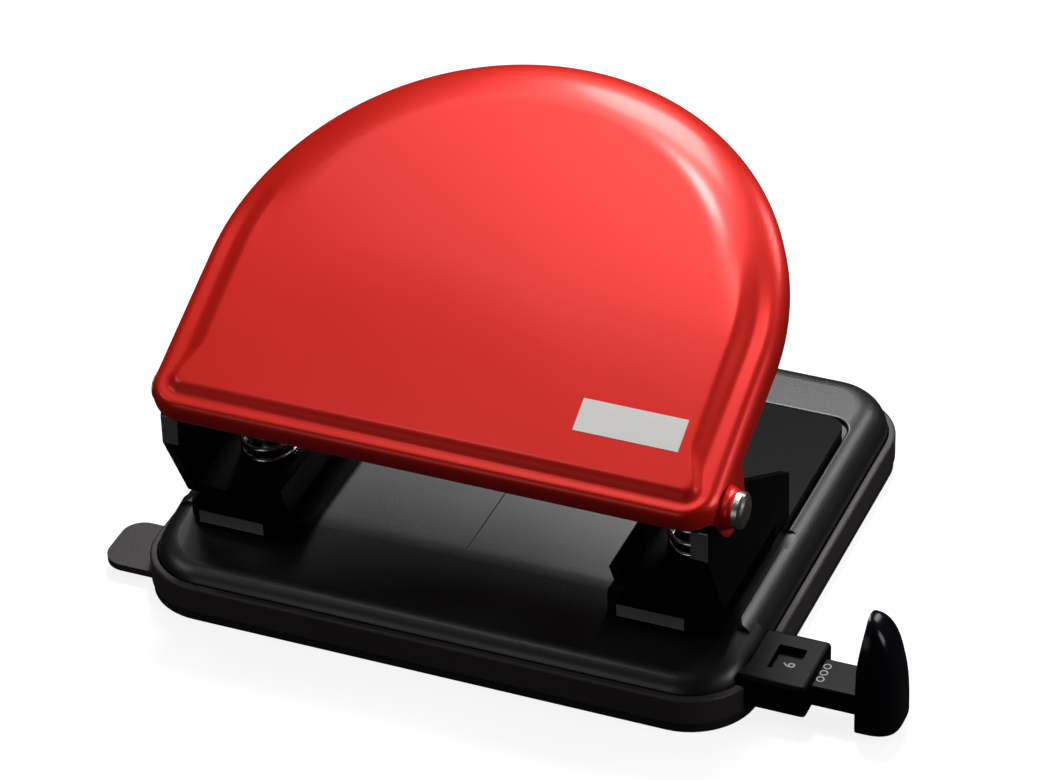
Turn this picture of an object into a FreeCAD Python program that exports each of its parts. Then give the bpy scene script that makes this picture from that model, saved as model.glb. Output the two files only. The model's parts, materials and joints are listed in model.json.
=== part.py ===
import FreeCAD, Part
import math
import os

# Two-hole desk punch. Millimetres, +Z up, the paper enters from -Y.
# The origin is on the table under the middle of the chip tray; X = 0 lies midway between the holes.

V = FreeCAD.Vector

# ---------------------------------------------------------------- driving sizes
# Holes and pins
HOLE_SPACING = 80.0            # centre to centre
PIN_DIAMETER = 6.0
HOLE_TO_PAPER_EDGE = 12.0      # from the holes to the edge of the sheet
PIN_FROM_FRONT = 26.5          # from the tray's front edge
RUNNING_CLEARANCE = 0.05       # radial gap of anything that slides or turns in a hole
BODY_GAP = 0.3                 # air between pieces that move past each other

# Non-slip pad and chip tray
TRAY_WIDTH = 112.6
TRAY_DEPTH = 94.6
TRAY_CORNER = 12.4
TRAY_WALL = 1.2
TRAY_FLOOR = 1.4
TRAY_HEIGHT = 7.0              # rim above the table
PAD_THICKNESS = 1.6
PAD_INSET = 0.3
TRAY_EDGE_ROUND = 0.5
TAB_LENGTH = 8.6
TAB_WIDTH = 13.0
TAB_THICKNESS = 1.6
TAB_CORNER = 4.0
TAB_FROM_FRONT = 12.9

# Steel base
SHEET = 1.2
DECK_ABOVE_TRAY = 9.3          # deck above the lower edge of the base
RAMP_LENGTH = 20.0             # from the tray's front edge to where the ramp meets the flat deck
RAMP_SLOPE_DEG = 11.5
FRONT_SHOULDER = 4.0           # rounding of the ramp into the walls
RAMP_BLEND = 20.0              # rounding between ramp and deck
RIM_HEIGHT = 0.8               # raised rim above the deck
RIM_WIDTH = 4.8
RIM_WIDTH_BESIDE_PLATE = 3.8   # narrower where the die plates lie beside it
RIM_BACK_WIDTH = 15.0
RIM_OUTER_ROUND = 6.0
RIM_INNER_ROUND = 0.5
RIM_INNER_CORNER = 3.5
RIM_FROM_FRONT = 16.3
RIM_FRONT_SLOPE = 3.0          # length over which the rim's front ends rise
RIM_NOTCH_LENGTH = 5.0
RIM_NOTCH_DEPTH = 1.6
RIM_NOTCH_BEHIND_PIN = 14.8
CENTRE_LINE_WIDTH = 0.6
CENTRE_LINE_DEPTH = 0.3

# Die plates
DIE_PLATE_THICKNESS = 2.4
DIE_PLATE_INNER_X = 28.0
DIE_PLATE_OUTER_X = 49.9
DIE_PLATE_AHEAD_OF_PIN = 14.7
DIE_PLATE_CORNER = 3.5
DIE_PLATE_BEHIND_LEG = 30.3    # the plate runs on behind the tower's legs, almost to the rim's rear shelf
DIE_CLEARANCE = 0.05
DECK_HOLE_MARGIN = 0.9         # how much wider the deck's hole is than the die bore
SHEAR_TAB_WIDTH = 12.2         # sheared middle of the plate's front edge
SHEAR_TAB_OFFSET = -2.0
SHEAR_TAB_PROUD = 0.3

# Towers
THROAT = 2.8                   # gap for the paper
TOWER_SHEET = 1.6
TOWER_WIDTH = 19.4
TOWER_LEG = 7.0                # length of each leg along Y
LEG_TAB = 5.0                  # tab at the foot of each leg
LEG_TAB_PEEN = 0.6             # tab end below the deck
THROAT_AHEAD_OF_PIN = 13.4
GUIDE_COLLAR_HEIGHT = 2.0
GUIDE_COLLAR_WALL = 1.0
TOWER_BACK_RISE = 9.0          # height of the vertical back edge above the die plate
LUG_WIDTH = 3.0
LUG_HEIGHT = 5.5
LUG_BELOW_PIVOT = 8.8          # underside of the lug below the pivot
LUG_THICKNESS = 1.0
TOWER_FRONT = 4.2              # front edge ahead of the pivot
PIVOT_LOBE = 3.0

# Handle pivot
PIVOT_AHEAD_OF_PIN = 16.9
PIVOT_ABOVE_WEB = 22.4
PIVOT_SHANK = 4.0
PIVOT_BOSS = 6.8               # boss drawn out of the right ear, under the rivet's head
PIVOT_BOSS_HEIGHT = 1.6
PIVOT_HEAD = 6.4
PIVOT_HEAD_HEIGHT = 1.8
PIVOT_LEFT_HEAD = 5.2          # the left rivet is closed almost flush
PIVOT_LEFT_HEAD_HEIGHT = 0.4
PIVOT_INNER_HEAD = 6.8
PIVOT_INNER_HEAD_HEIGHT = 1.0
WASHER_THICKNESS = 0.3
WASHER_DIAMETER = 5.6
EAR_GAP = 0.65                 # air between washer and ear, where the handle's corners round in

# Handle
HANDLE_TILT_DEG = 23.4         # rest angle above the table
HANDLE_SHEET = 1.0
HANDLE_ARC_FROM_PIVOT = 25.3   # centre of the round back edge
HANDLE_FRONT_FROM_PIVOT = 6.8
HANDLE_FRONT_CORNER = 6.4
SKIRT_ABOVE_PIVOT = 1.1        # lower edge of the skirt
SKIRT_HEIGHT = 5.0
SKIRT_ROUND = 4.4
PANEL_INSET = 8.0
PANEL_RISE = 2.8
PANEL_ROUND = 4.6
PANEL_CORNER = 6.0
EAR_FRONT = 3.2                # ahead of the pivot
EAR_BACK = 6.4                 # behind the pivot, at the ear's lower edge
EAR_BACK_ROOT = 7.9            # and where it meets the skirt
EAR_DROP = 7.4                 # below the pivot
EAR_CORNER = 2.6

# Press bar
PRESS_TRAVEL_DEG = 25.0
PRESS_BAR_SHEET = 1.6
PRESS_BAR_FLANGE = 9.0
PRESS_BAR_PAST_PIN = 1.5       # bar beyond the outside of each pin
PRESS_NOSE_GAP = 0.3

# Return springs and rings
SPRING_WIRE = 0.9
SPRING_OUTER = 10.4
SPRING_PITCH = 2.62
SPRING_END_GAP = 0.05
RING_OUTER = 10.6
RING_THICKNESS = 1.0
RING_GROOVE_DEPTH = 0.6
RING_MOUTH = 3.8               # opening of the ring
PIN_ABOVE_RING = 2.0
PIN_TOP_ROUND = 0.5
PIN_TIP_ABOVE_THROAT = 0.5
PIN_HOLLOW_DIAMETER = 3.6
PIN_HOLLOW_DEPTH = 2.0
PIN_NOTCH_DEPTH = 1.2

# Paper guide
GUIDE_FROM_FRONT = 14.7
HOUSING_WIDTH = 14.0
HOUSING_LENGTH = 11.2
HOUSING_BOTTOM = 2.6
HOUSING_HEIGHT = 6.4
HOUSING_ROUND = 0.8
HOUSING_NECK_SIDE = 1.2        # how much narrower the neck is on each side
HOUSING_NECK_TOP = 0.5
HOUSING_NECK_INSIDE = 3.0
WINDOW_LENGTH = 5.0
WINDOW_WIDTH = 6.6
RAIL_WIDTH = 8.1
RAIL_THICKNESS = 4.2
RAIL_BOTTOM = 3.5
RAIL_ROUND = 0.4
RAIL_HEAD_LENGTH = 3.0
RAIL_HEAD_EXTRA = 1.0
RAIL_PLUG = 3.0
PAPER_SETTINGS = [68.5, 74.0, 105.0, 148.5]   # stop face from the middle, for the four paper sizes
SHOWN_SETTING = 1                             # the setting modelled at rest
DETENT_RADIUS = 0.6
STOP_THICKNESS = 6.6
STOP_WIDTH = 11.6
STOP_BOTTOM = 1.1
STOP_HEIGHT = 21.8
STOP_TIP = 1.0                 # point behind the face that the paper meets
STOP_LEAN_START = 15.0         # height where the flat face starts to lean back
STOP_STRAIGHT = 9.0            # height of the straight lower part
STOP_ARCH_RISE = 8.7           # above the straight part, where the arch has the next half-width
STOP_ARCH_HALF = 3.6
STOP_BACK_Z = 15.9             # height where the rounded outside has come in by the next size
STOP_BACK_IN = 1.85
STOP_LEAN_BOW = 0.3            # how much the leaning face bulges
STOP_ROUND = 1.2

# ---------------------------------------------------------------- derived places
PAST = 1.0                                    # how far a cutting shape runs past a face
FAR_PAST = 20.0                               # and where it has to clear a whole piece
FRONT_Y = -TRAY_DEPTH / 2
PIN_Y = FRONT_Y + PIN_FROM_FRONT
PIN_RADIUS = PIN_DIAMETER / 2
HOLE_X = HOLE_SPACING / 2
TAB_Y = FRONT_Y + TAB_FROM_FRONT
GUIDE_Y = FRONT_Y + GUIDE_FROM_FRONT
RAMP_BACK_Y = FRONT_Y + RAMP_LENGTH
RIM_FRONT_Y = FRONT_Y + RIM_FROM_FRONT
RIM_NOTCH_Y = PIN_Y + RIM_NOTCH_BEHIND_PIN
DIE_PLATE_FRONT_Y = PIN_Y - DIE_PLATE_AHEAD_OF_PIN
THROAT_FRONT_Y = PIN_Y - THROAT_AHEAD_OF_PIN
PIVOT_Y = PIN_Y - PIVOT_AHEAD_OF_PIN
PAPER_STOP_Y = PIN_Y + HOLE_TO_PAPER_EDGE
TRAY_INSIDE = TRAY_WIDTH / 2 - TRAY_WALL
TRAY_FLOOR_Z = PAD_THICKNESS + TRAY_FLOOR
BASE_HALF_WIDTH = TRAY_INSIDE - BODY_GAP
BASE_HALF_DEPTH = TRAY_DEPTH / 2 - TRAY_WALL - BODY_GAP
BASE_CORNER = TRAY_CORNER - TRAY_WALL - BODY_GAP
BASE_BOTTOM = TRAY_FLOOR_Z + BODY_GAP
DECK_Z = BASE_BOTTOM + DECK_ABOVE_TRAY
RIM_Z = DECK_Z + RIM_HEIGHT
DIE_TOP = DECK_Z + DIE_PLATE_THICKNESS
WEB_BOTTOM = DIE_TOP + THROAT
WEB_TOP = WEB_BOTTOM + TOWER_SHEET
PIVOT_Z = WEB_TOP + PIVOT_ABOVE_WEB
LEG_BACK_Y = PAPER_STOP_Y + TOWER_LEG
TOWER_INNER_X = HOLE_X - TOWER_WIDTH / 2
TOWER_OUTER_X = HOLE_X + TOWER_WIDTH / 2
EAR_INNER_X = TOWER_OUTER_X + WASHER_THICKNESS + EAR_GAP
HANDLE_HALF_WIDTH = EAR_INNER_X + HANDLE_SHEET
NOSE_START_DEG = PRESS_TRAVEL_DEG / 2
PRESS_RADIUS = (PIN_Y - PIVOT_Y) / math.cos(math.radians(NOSE_START_DEG / 2))
NOSE_Z = PIVOT_Z + PRESS_RADIUS * math.sin(math.radians(NOSE_START_DEG))
PIN_TOP = NOSE_Z - PRESS_NOSE_GAP
PIN_TIP = WEB_BOTTOM + PIN_TIP_ABOVE_THROAT
RING_Z = PIN_TOP - PIN_ABOVE_RING - RING_THICKNESS
STOP_X = PAPER_SETTINGS[SHOWN_SETTING]
RAIL_TRAVEL_OUT = PAPER_SETTINGS[-1] - STOP_X
NECK_END_X = BASE_HALF_WIDTH - HOUSING_NECK_INSIDE
HOUSING_END_X = BASE_HALF_WIDTH + HOUSING_LENGTH
RAIL_INNER_END = NECK_END_X - BODY_GAP - RAIL_HEAD_LENGTH - RAIL_TRAVEL_OUT


# ---------------------------------------------------------------- shape helpers
def block(x0, x1, y0, y1, z0, z1):
    return Part.makeBox(x1 - x0, y1 - y0, z1 - z0, V(x0, y0, z0))


def cylinder(radius, start, end):
    along = end - start
    return Part.makeCylinder(radius, along.Length, start, along)


def extruded(points, direction):
    """Solid from a closed polygon pushed along a vector."""
    face = Part.Face(Part.makePolygon(points + [points[0]]))
    return face.extrude(direction)


def rounded_prism(x0, x1, y0, y1, corner, z0, z1):
    """Upright prism whose plan is a rectangle with round corners."""
    k = corner * (1 - math.cos(math.radians(45)))
    a = V(x0 + corner, y0, z0)
    b = V(x1 - corner, y0, z0)
    c = V(x1, y0 + corner, z0)
    d = V(x1, y1 - corner, z0)
    e = V(x1 - corner, y1, z0)
    f = V(x0 + corner, y1, z0)
    g = V(x0, y1 - corner, z0)
    h = V(x0, y0 + corner, z0)
    edges = [
        Part.makeLine(a, b),
        Part.Arc(b, V(x1 - k, y0 + k, z0), c).toShape(),
        Part.makeLine(c, d),
        Part.Arc(d, V(x1 - k, y1 - k, z0), e).toShape(),
        Part.makeLine(e, f),
        Part.Arc(f, V(x0 + k, y1 - k, z0), g).toShape(),
        Part.makeLine(g, h),
        Part.Arc(h, V(x0 + k, y0 + k, z0), a).toShape(),
    ]
    return Part.Face(Part.Wire(edges)).extrude(V(0, 0, z1 - z0))


def centred_prism(half_width, half_depth, corner, z0, z1):
    return rounded_prism(-half_width, half_width, -half_depth, half_depth, corner, z0, z1)


def fillet_where(shape, radius, wanted):
    """Round the edges whose bounding box passes the test."""
    edges = [edge for edge in shape.Edges if wanted(edge.BoundBox)]
    return shape.makeFillet(radius, edges)


def level(box, z):
    return abs(box.ZMin - z) < 1e-4 and abs(box.ZMax - z) < 1e-4


def mirrored(shape):
    return shape.mirror(V(0, 0, 0), V(1, 0, 0))


def turned(points_and_heights):
    """Solid of revolution about +X through the origin from (x, radius) points."""
    points = [V(x, 0, r) for x, r in points_and_heights]
    face = Part.Face(Part.makePolygon(points + [points[0]]))
    return face.revolve(V(0, 0, 0), V(1, 0, 0), 360)


def export(name, shape):
    shape.exportStep("parts/" + name + ".step")


# ---------------------------------------------------------------- pad and tray
def make_pad():
    return centred_prism(TRAY_WIDTH / 2 - PAD_INSET, TRAY_DEPTH / 2 - PAD_INSET,
                         TRAY_CORNER - PAD_INSET, 0, PAD_THICKNESS)


def make_tray():
    outer = centred_prism(TRAY_WIDTH / 2, TRAY_DEPTH / 2, TRAY_CORNER, PAD_THICKNESS, TRAY_HEIGHT)
    tab = rounded_prism(-TRAY_WIDTH / 2 - TAB_LENGTH, -TRAY_WIDTH / 2 + 2 * TAB_CORNER,
                        TAB_Y - TAB_WIDTH / 2, TAB_Y + TAB_WIDTH / 2,
                        TAB_CORNER, PAD_THICKNESS, PAD_THICKNESS + TAB_THICKNESS)
    solid = outer.fuse(tab).removeSplitter()
    solid = fillet_where(solid, TRAY_EDGE_ROUND,
                         lambda b: level(b, PAD_THICKNESS) or level(b, TRAY_HEIGHT))
    inside = centred_prism(TRAY_INSIDE, TRAY_DEPTH / 2 - TRAY_WALL, TRAY_CORNER - TRAY_WALL,
                           TRAY_FLOOR_Z, TRAY_HEIGHT + PAST)
    notch = block(TRAY_INSIDE - PAST, TRAY_WIDTH / 2 + PAST,
                  GUIDE_Y - HOUSING_WIDTH / 2 - BODY_GAP, GUIDE_Y + HOUSING_WIDTH / 2 + BODY_GAP,
                  HOUSING_BOTTOM - BODY_GAP, TRAY_HEIGHT + PAST)
    return solid.cut(inside).cut(notch)


# ---------------------------------------------------------------- steel base
def deck_profile(offset):
    """Side outline (YZ) under the ramp and deck, lowered by the offset."""
    slope = math.tan(math.radians(RAMP_SLOPE_DEG))
    reach = BASE_HALF_DEPTH + FAR_PAST
    deck = DECK_Z - offset
    return [V(0, -reach, BASE_BOTTOM), V(0, -reach, deck - (reach + RAMP_BACK_Y) * slope),
            V(0, RAMP_BACK_Y, deck), V(0, reach, deck), V(0, reach, BASE_BOTTOM)]


def deck_block(offset):
    """Everything below the ramp and deck, with the crease between them rounded."""
    reach = BASE_HALF_WIDTH + FAR_PAST
    points = [p + V(-reach, 0, 0) for p in deck_profile(offset)]
    solid = extruded(points, V(2 * reach, 0, 0))
    return fillet_where(solid, RAMP_BLEND,
                        lambda b: abs(b.YMin - RAMP_BACK_Y) < 1e-4 and abs(b.YMax - RAMP_BACK_Y) < 1e-4)


def base_hood(offset):
    """Rounded block over the whole base, up to the rim's top."""
    top = RIM_Z - offset
    hood = centred_prism(BASE_HALF_WIDTH - offset, BASE_HALF_DEPTH - offset, BASE_CORNER - offset,
                         BASE_BOTTOM - offset, top)
    return fillet_where(hood, RIM_OUTER_ROUND - offset, lambda b: level(b, top))


def base_form(offset):
    """Outside of the pressed base with no offset; its hollow when lowered by the sheet's thickness."""
    half_width = BASE_HALF_WIDTH - offset
    half_depth = BASE_HALF_DEPTH - offset
    skin = deck_block(offset).common(centred_prism(half_width, half_depth, BASE_CORNER - offset,
                                                   BASE_BOTTOM - offset, DECK_Z + PAST))
    skin = skin.removeSplitter()
    wall_top = []
    for edge in skin.Edges:
        box = edge.BoundBox
        on_wall = (box.XMax > half_width - 1e-3 or box.XMin < -half_width + 1e-3
                   or box.YMax > half_depth - 1e-3 or box.YMin < -half_depth + 1e-3)
        upright = box.ZLength > 3 and box.XLength < 1e-3 and box.YLength < 1e-3
        if on_wall and not upright and box.ZMin > BASE_BOTTOM + PAST:
            wall_top.append(edge)
    skin = skin.makeFillet(FRONT_SHOULDER - offset, wall_top)
    front = block(-BASE_HALF_WIDTH - PAST, BASE_HALF_WIDTH + PAST, -BASE_HALF_DEPTH - PAST,
                  RIM_FRONT_Y + RIM_FRONT_SLOPE, BASE_BOTTOM - SHEET - PAST, RIM_Z + PAST)
    return skin.common(base_hood(offset).fuse(front))


def rim_inside(width, y0, y1):
    """Space between the side rims over part of their length."""
    inner_x = BASE_HALF_WIDTH - width
    return rounded_prism(-inner_x, inner_x, y0, y1, RIM_INNER_CORNER, BASE_BOTTOM - PAST, RIM_Z + PAST)


def make_rim():
    """Raised rim along the sides and back of the deck."""
    root = DECK_Z - SHEET
    slope_end = RIM_FRONT_Y + RIM_FRONT_SLOPE
    ring = base_hood(0).cut(rim_inside(RIM_WIDTH, -BASE_HALF_DEPTH - FAR_PAST,
                                       BASE_HALF_DEPTH - RIM_BACK_WIDTH))
    reach = BASE_HALF_WIDTH + PAST
    back = BASE_HALF_DEPTH + PAST
    keep = extruded([V(-reach, RIM_FRONT_Y, DECK_Z), V(-reach, slope_end, RIM_Z),
                     V(-reach, slope_end, RIM_Z + PAST), V(-reach, back, RIM_Z + PAST),
                     V(-reach, back, root), V(-reach, RIM_FRONT_Y, root)], V(2 * reach, 0, 0))
    inner_x = BASE_HALF_WIDTH - RIM_WIDTH
    rim = fillet_where(ring.common(keep), RIM_INNER_ROUND,
                       lambda b: level(b, RIM_Z) and b.YMin > slope_end - 1e-3
                       and b.XMin > -inner_x - 1e-3 and b.XMax < inner_x + 1e-3
                       and b.YMax < BASE_HALF_DEPTH - RIM_BACK_WIDTH + 1e-3)
    rim = rim.cut(rim_inside(RIM_WIDTH_BESIDE_PLATE, -BASE_HALF_DEPTH - FAR_PAST, RIM_NOTCH_Y))
    for side in (-1, 1):
        centre = V(side * (BASE_HALF_WIDTH - RIM_WIDTH_BESIDE_PLATE), RIM_NOTCH_Y, DECK_Z)
        dent = Part.makeCylinder(RIM_NOTCH_LENGTH / 2, RIM_HEIGHT + PAST, centre)
        squash = FreeCAD.Matrix()
        squash.move(V(-centre.x, -centre.y, 0))
        squash.scale(2 * RIM_NOTCH_DEPTH / RIM_NOTCH_LENGTH, 1, 1)
        squash.move(V(centre.x, centre.y, 0))
        rim = rim.cut(dent.transformGeometry(squash))
    return rim


def make_base():
    shell = base_form(0).fuse(make_rim()).removeSplitter().cut(base_form(SHEET))
    for side in (-1, 1):
        hole_bottom = V(side * HOLE_X, PIN_Y, BASE_BOTTOM)
        shell = shell.cut(cylinder(PIN_RADIUS + DIE_CLEARANCE + DECK_HOLE_MARGIN, hole_bottom,
                                   hole_bottom + V(0, 0, DECK_Z)))
        shell = shell.cut(leg_tab_slots(side, DECK_Z - SHEET - PAST, DECK_Z + PAST))
    neck_half = HOUSING_WIDTH / 2 - HOUSING_NECK_SIDE
    shell = shell.cut(block(NECK_END_X, BASE_HALF_WIDTH + PAST,
                            GUIDE_Y - neck_half, GUIDE_Y + neck_half,
                            BASE_BOTTOM - PAST, HOUSING_BOTTOM + HOUSING_HEIGHT - HOUSING_NECK_TOP))
    line = block(-CENTRE_LINE_WIDTH / 2, CENTRE_LINE_WIDTH / 2, RAMP_BACK_Y, PAPER_STOP_Y,
                 DECK_Z - CENTRE_LINE_DEPTH, DECK_Z + PAST)
    return shell.cut(line)


# ---------------------------------------------------------------- die plates and towers
def leg_tab_slots(side, z0, z1):
    """The two slots that a tower's tabs pass through."""
    middle = (PAPER_STOP_Y + LEG_BACK_Y) / 2
    slots = []
    for x in (TOWER_INNER_X, TOWER_OUTER_X - TOWER_SHEET):
        slot = block(x - RUNNING_CLEARANCE, x + TOWER_SHEET + RUNNING_CLEARANCE,
                     middle - LEG_TAB / 2 - RUNNING_CLEARANCE, middle + LEG_TAB / 2 + RUNNING_CLEARANCE,
                     z0, z1)
        slots.append(slot if side > 0 else mirrored(slot))
    return slots[0].fuse(slots[1])


def make_die_plate(side):
    """The plates mirror each other, but the sheared tab sits on the same side of each."""
    x0 = min(side * DIE_PLATE_INNER_X, side * DIE_PLATE_OUTER_X)
    x1 = max(side * DIE_PLATE_INNER_X, side * DIE_PLATE_OUTER_X)
    plate = rounded_prism(x0, x1, DIE_PLATE_FRONT_Y, LEG_BACK_Y + DIE_PLATE_BEHIND_LEG,
                          DIE_PLATE_CORNER, DECK_Z, DIE_TOP)
    tab_middle = (x0 + x1) / 2 + SHEAR_TAB_OFFSET
    tab = block(tab_middle - SHEAR_TAB_WIDTH / 2, tab_middle + SHEAR_TAB_WIDTH / 2,
                DIE_PLATE_FRONT_Y - SHEAR_TAB_PROUD, DIE_PLATE_FRONT_Y + PAST, DECK_Z, DIE_TOP)
    hole = side * HOLE_X
    bore = cylinder(PIN_RADIUS + DIE_CLEARANCE, V(hole, PIN_Y, DECK_Z - PAST), V(hole, PIN_Y, DIE_TOP + PAST))
    plate = plate.fuse(tab).removeSplitter().cut(bore)
    return plate.cut(leg_tab_slots(side, DECK_Z - PAST, DIE_TOP + PAST))


def tower_side(x):
    """One upright side of a tower, from the leg at the back to the pivot at the front."""
    front = PIVOT_Y - TOWER_FRONT
    lug_bottom = PIVOT_Z - LUG_BELOW_PIVOT
    corner = V(x, LEG_BACK_Y, DIE_TOP + TOWER_BACK_RISE)
    to_pivot = V(0, PIVOT_Y, PIVOT_Z) - V(0, corner.y, corner.z)
    swing = math.asin(PIVOT_LOBE / to_pivot.Length)
    bearing = math.atan2(to_pivot.z, to_pivot.y) - swing
    run = to_pivot.Length * math.cos(swing)
    tangent = V(x, corner.y + run * math.cos(bearing), corner.z + run * math.sin(bearing))
    outline = [V(x, PIVOT_Y - PIVOT_LOBE, PIVOT_Z), V(x, front, lug_bottom + LUG_HEIGHT),
               V(x, front, lug_bottom), V(x, THROAT_FRONT_Y, WEB_BOTTOM),
               V(x, PAPER_STOP_Y, WEB_BOTTOM), V(x, PAPER_STOP_Y, DIE_TOP), V(x, LEG_BACK_Y, DIE_TOP),
               corner, tangent, V(x, PIVOT_Y, PIVOT_Z)]
    plate = extruded(outline, V(TOWER_SHEET, 0, 0))
    lobe = cylinder(PIVOT_LOBE, V(x, PIVOT_Y, PIVOT_Z), V(x + TOWER_SHEET, PIVOT_Y, PIVOT_Z))
    middle = (PAPER_STOP_Y + LEG_BACK_Y) / 2
    tab = block(x, x + TOWER_SHEET, middle - LEG_TAB / 2, middle + LEG_TAB / 2,
                DECK_Z - SHEET - LEG_TAB_PEEN, DIE_TOP)
    return plate.fuse([lobe, tab])


def make_tower():
    """Right-hand tower; the left one is its mirror image."""
    inner = tower_side(TOWER_INNER_X)
    outer = tower_side(TOWER_OUTER_X - TOWER_SHEET)
    low_side = block(TOWER_INNER_X - PAST, TOWER_INNER_X + TOWER_SHEET + PAST,
                     PIVOT_Y - FAR_PAST, LEG_BACK_Y + PAST, DIE_TOP + TOWER_BACK_RISE, PIVOT_Z + FAR_PAST)
    inner = inner.cut(low_side)
    web = block(TOWER_INNER_X, TOWER_OUTER_X, THROAT_FRONT_Y, LEG_BACK_Y, WEB_BOTTOM, WEB_TOP)
    collar = cylinder(PIN_RADIUS + RUNNING_CLEARANCE + GUIDE_COLLAR_WALL,
                      V(HOLE_X, PIN_Y, WEB_BOTTOM), V(HOLE_X, PIN_Y, WEB_TOP + GUIDE_COLLAR_HEIGHT))
    lug_bottom = PIVOT_Z - LUG_BELOW_PIVOT
    lug_front = PIVOT_Y - TOWER_FRONT
    lug = block(TOWER_OUTER_X - LUG_WIDTH, TOWER_OUTER_X, lug_front, lug_front + LUG_THICKNESS,
                lug_bottom, lug_bottom + LUG_HEIGHT)
    tower = outer.fuse([inner, web, collar, lug]).removeSplitter()
    guide = cylinder(PIN_RADIUS + RUNNING_CLEARANCE, V(HOLE_X, PIN_Y, WEB_BOTTOM - PAST),
                     V(HOLE_X, PIN_Y, WEB_TOP + GUIDE_COLLAR_HEIGHT + PAST))
    pivot = cylinder(PIVOT_SHANK / 2, V(TOWER_OUTER_X - TOWER_SHEET - PAST, PIVOT_Y, PIVOT_Z),
                     V(TOWER_OUTER_X + PAST, PIVOT_Y, PIVOT_Z))
    return tower.cut(guide).cut(pivot)


# ---------------------------------------------------------------- pins, springs, rings
def make_pin():
    shank = cylinder(PIN_RADIUS, V(HOLE_X, PIN_Y, PIN_TIP), V(HOLE_X, PIN_Y, PIN_TOP))
    shank = fillet_where(shank, PIN_TOP_ROUND, lambda b: level(b, PIN_TOP))
    hollow = cylinder(PIN_HOLLOW_DIAMETER / 2, V(HOLE_X, PIN_Y, PIN_TIP - PAST),
                      V(HOLE_X, PIN_Y, PIN_TIP + PIN_HOLLOW_DEPTH))
    notch = extruded([V(HOLE_X - PIN_RADIUS - PAST, PIN_Y - PIN_RADIUS, PIN_TIP),
                      V(HOLE_X - PIN_RADIUS - PAST, PIN_Y + PIN_RADIUS, PIN_TIP),
                      V(HOLE_X - PIN_RADIUS - PAST, PIN_Y, PIN_TIP + PIN_NOTCH_DEPTH)],
                     V(2 * PIN_RADIUS + 2 * PAST, 0, 0))
    groove = cylinder(PIN_RADIUS + PAST, V(HOLE_X, PIN_Y, RING_Z), V(HOLE_X, PIN_Y, RING_Z + RING_THICKNESS))
    groove = groove.cut(cylinder(PIN_RADIUS - RING_GROOVE_DEPTH, V(HOLE_X, PIN_Y, RING_Z - PAST),
                                 V(HOLE_X, PIN_Y, RING_Z + RING_THICKNESS + PAST)))
    return shank.cut(hollow).cut(notch).cut(groove)


def make_ring():
    """Open retaining ring that snaps into the pin's groove."""
    top = V(HOLE_X, PIN_Y, RING_Z + RING_THICKNESS)
    ring = cylinder(RING_OUTER / 2, V(HOLE_X, PIN_Y, RING_Z), top)
    ring = ring.cut(cylinder(PIN_RADIUS - RING_GROOVE_DEPTH, V(HOLE_X, PIN_Y, RING_Z - PAST),
                             top + V(0, 0, PAST)))
    gap = block(HOLE_X - RING_MOUTH / 2, HOLE_X + RING_MOUTH / 2, PIN_Y, PIN_Y + RING_OUTER,
                RING_Z - PAST, RING_Z + RING_THICKNESS + PAST)
    return ring.cut(gap)


def make_spring():
    radius = (SPRING_OUTER - SPRING_WIRE) / 2
    bottom = WEB_TOP + SPRING_END_GAP + SPRING_WIRE / 2
    top = RING_Z - SPRING_END_GAP - SPRING_WIRE / 2
    helix = Part.makeLongHelix(SPRING_PITCH, top - bottom, radius)
    start = V(radius, 0, 0)
    wire = Part.Wire(Part.makeCircle(SPRING_WIRE / 2, start, V(0, 1, 0)))
    coil = Part.Wire(helix).makePipeShell([wire], True, True)
    coil.translate(V(HOLE_X, PIN_Y, bottom))
    return coil


# ---------------------------------------------------------------- handle
def handle_plan(inset, corner, n0, n1):
    """D-shaped prism in the handle's own frame: pivot at the origin, Y to the back, Z out of the panel."""
    half = HANDLE_HALF_WIDTH - inset
    front = -HANDLE_FRONT_FROM_PIVOT + inset
    centre = HANDLE_ARC_FROM_PIVOT
    k = corner * (1 - math.cos(math.radians(45)))
    a = V(-half + corner, front, n0)
    b = V(half - corner, front, n0)
    c = V(half, front + corner, n0)
    d = V(half, centre, n0)
    e = V(-half, centre, n0)
    f = V(-half, front + corner, n0)
    edges = [
        Part.makeLine(a, b),
        Part.Arc(b, V(half - k, front + k, n0), c).toShape(),
        Part.makeLine(c, d),
        Part.Arc(d, V(0, centre + half, n0), e).toShape(),
        Part.makeLine(e, f),
        Part.Arc(f, V(-half + k, front + k, n0), a).toShape(),
    ]
    return Part.Face(Part.Wire(edges)).extrude(V(0, 0, n1 - n0))


def rounded_plan(inset, corner, n0, n1, radius):
    return fillet_where(handle_plan(inset, corner, n0, n1), radius, lambda b: level(b, n1))


def place_on_pivot(shape):
    """From the handle's own frame to its rest place on the punch."""
    shape.rotate(V(0, 0, 0), V(1, 0, 0), HANDLE_TILT_DEG)
    shape.translate(V(0, PIVOT_Y, PIVOT_Z))
    return shape


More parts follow.
